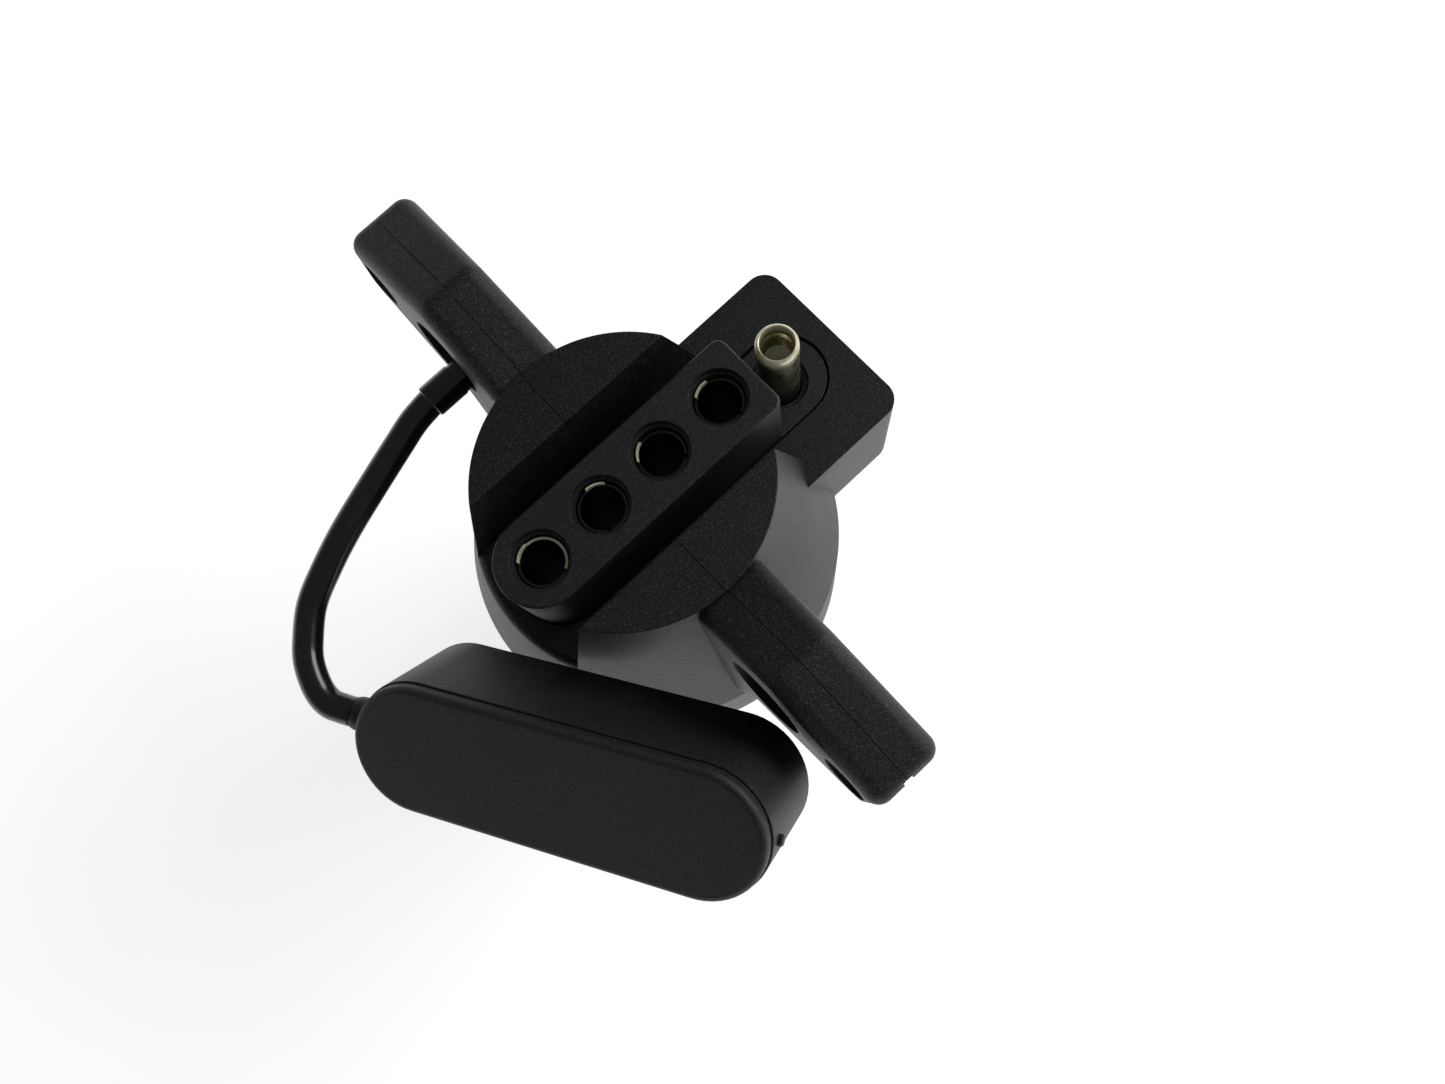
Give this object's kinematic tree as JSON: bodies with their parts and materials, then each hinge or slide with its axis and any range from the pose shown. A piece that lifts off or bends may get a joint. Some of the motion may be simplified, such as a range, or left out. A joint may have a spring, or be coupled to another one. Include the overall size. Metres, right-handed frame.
{
  "type": "trailer wiring adapter",
  "caption": "Trailer wiring adapter: a round multi-blade plug whose back is a flat socket-and-pin connector, with two pull wings and a tethered oblong dust cap.",
  "frame": {"origin": "middle of the footprint of the housing with its box, at the plug end it stands on; the plug axis stands 3.7 mm towards -X from it", "axes": "+Z from the plug end to the flat connector's face, +X from the sockets to the bare pin, +Y to the pull wing that holds the tether"},
  "size_m": [0.0945, 0.11, 0.0929],
  "materials": {
    "housing_plastic": "black glass-filled nylon, fine speckled grain, semi-matte",
    "insert_plastic": "black moulded plastic, smooth matte",
    "tinned_contact": "tin-plated brass, bright",
    "insulator_plastic": "black moulded plastic, matte",
    "contact_brass": "rolled brass, plain",
    "wire_white": "wire insulation",
    "wire_brown": "wire insulation",
    "wire_yellow": "wire insulation",
    "wire_green": "wire insulation",
    "wire_purple": "wire insulation",
    "tether_rubber": "black moulded elastomer, glossy",
    "cap_rubber": "black moulded elastomer, fine matte grain"
  },
  "bodies": {
    "adapter": {"housing_half_plain": "housing_plastic", "housing_half_box": "housing_plastic", "flat_insert": "insert_plastic", "socket_contact_reverse": "tinned_contact", "socket_contact_right": "tinned_contact", "socket_contact_left": "tinned_contact", "socket_contact_tail": "tinned_contact", "pin_contact_ground": "tinned_contact", "plug_insulator": "insulator_plastic", "blade_contact_ground": "contact_brass", "blade_contact_tail": "contact_brass", "blade_contact_left": "contact_brass", "blade_contact_right": "contact_brass", "centre_contact_reverse": "contact_brass", "wire_ground": "wire_white", "wire_tail": "wire_brown", "wire_left": "wire_yellow", "wire_right": "wire_green", "wire_reverse": "wire_purple"},
    "tether": {"tether_plug": "tether_rubber", "tether_cord": "tether_rubber"},
    "cap": {"dust_cap": "cap_rubber"}
  },
  "joints": [
    {"name": "tether_swivel", "type": "hinge", "parent": "adapter", "child": "tether", "pos_m": [-0.0037, 0.0316, 0.0768], "axis": [1, 0, 0], "range_deg": [-200, 0]},
    {"name": "cap_fold", "type": "hinge", "parent": "tether", "child": "cap", "pos_m": [-0.05333, 0.00423, 0.07271], "axis": [-0.6806, -0.5427, -0.4921], "range_deg": [0, 60]}
  ]
}
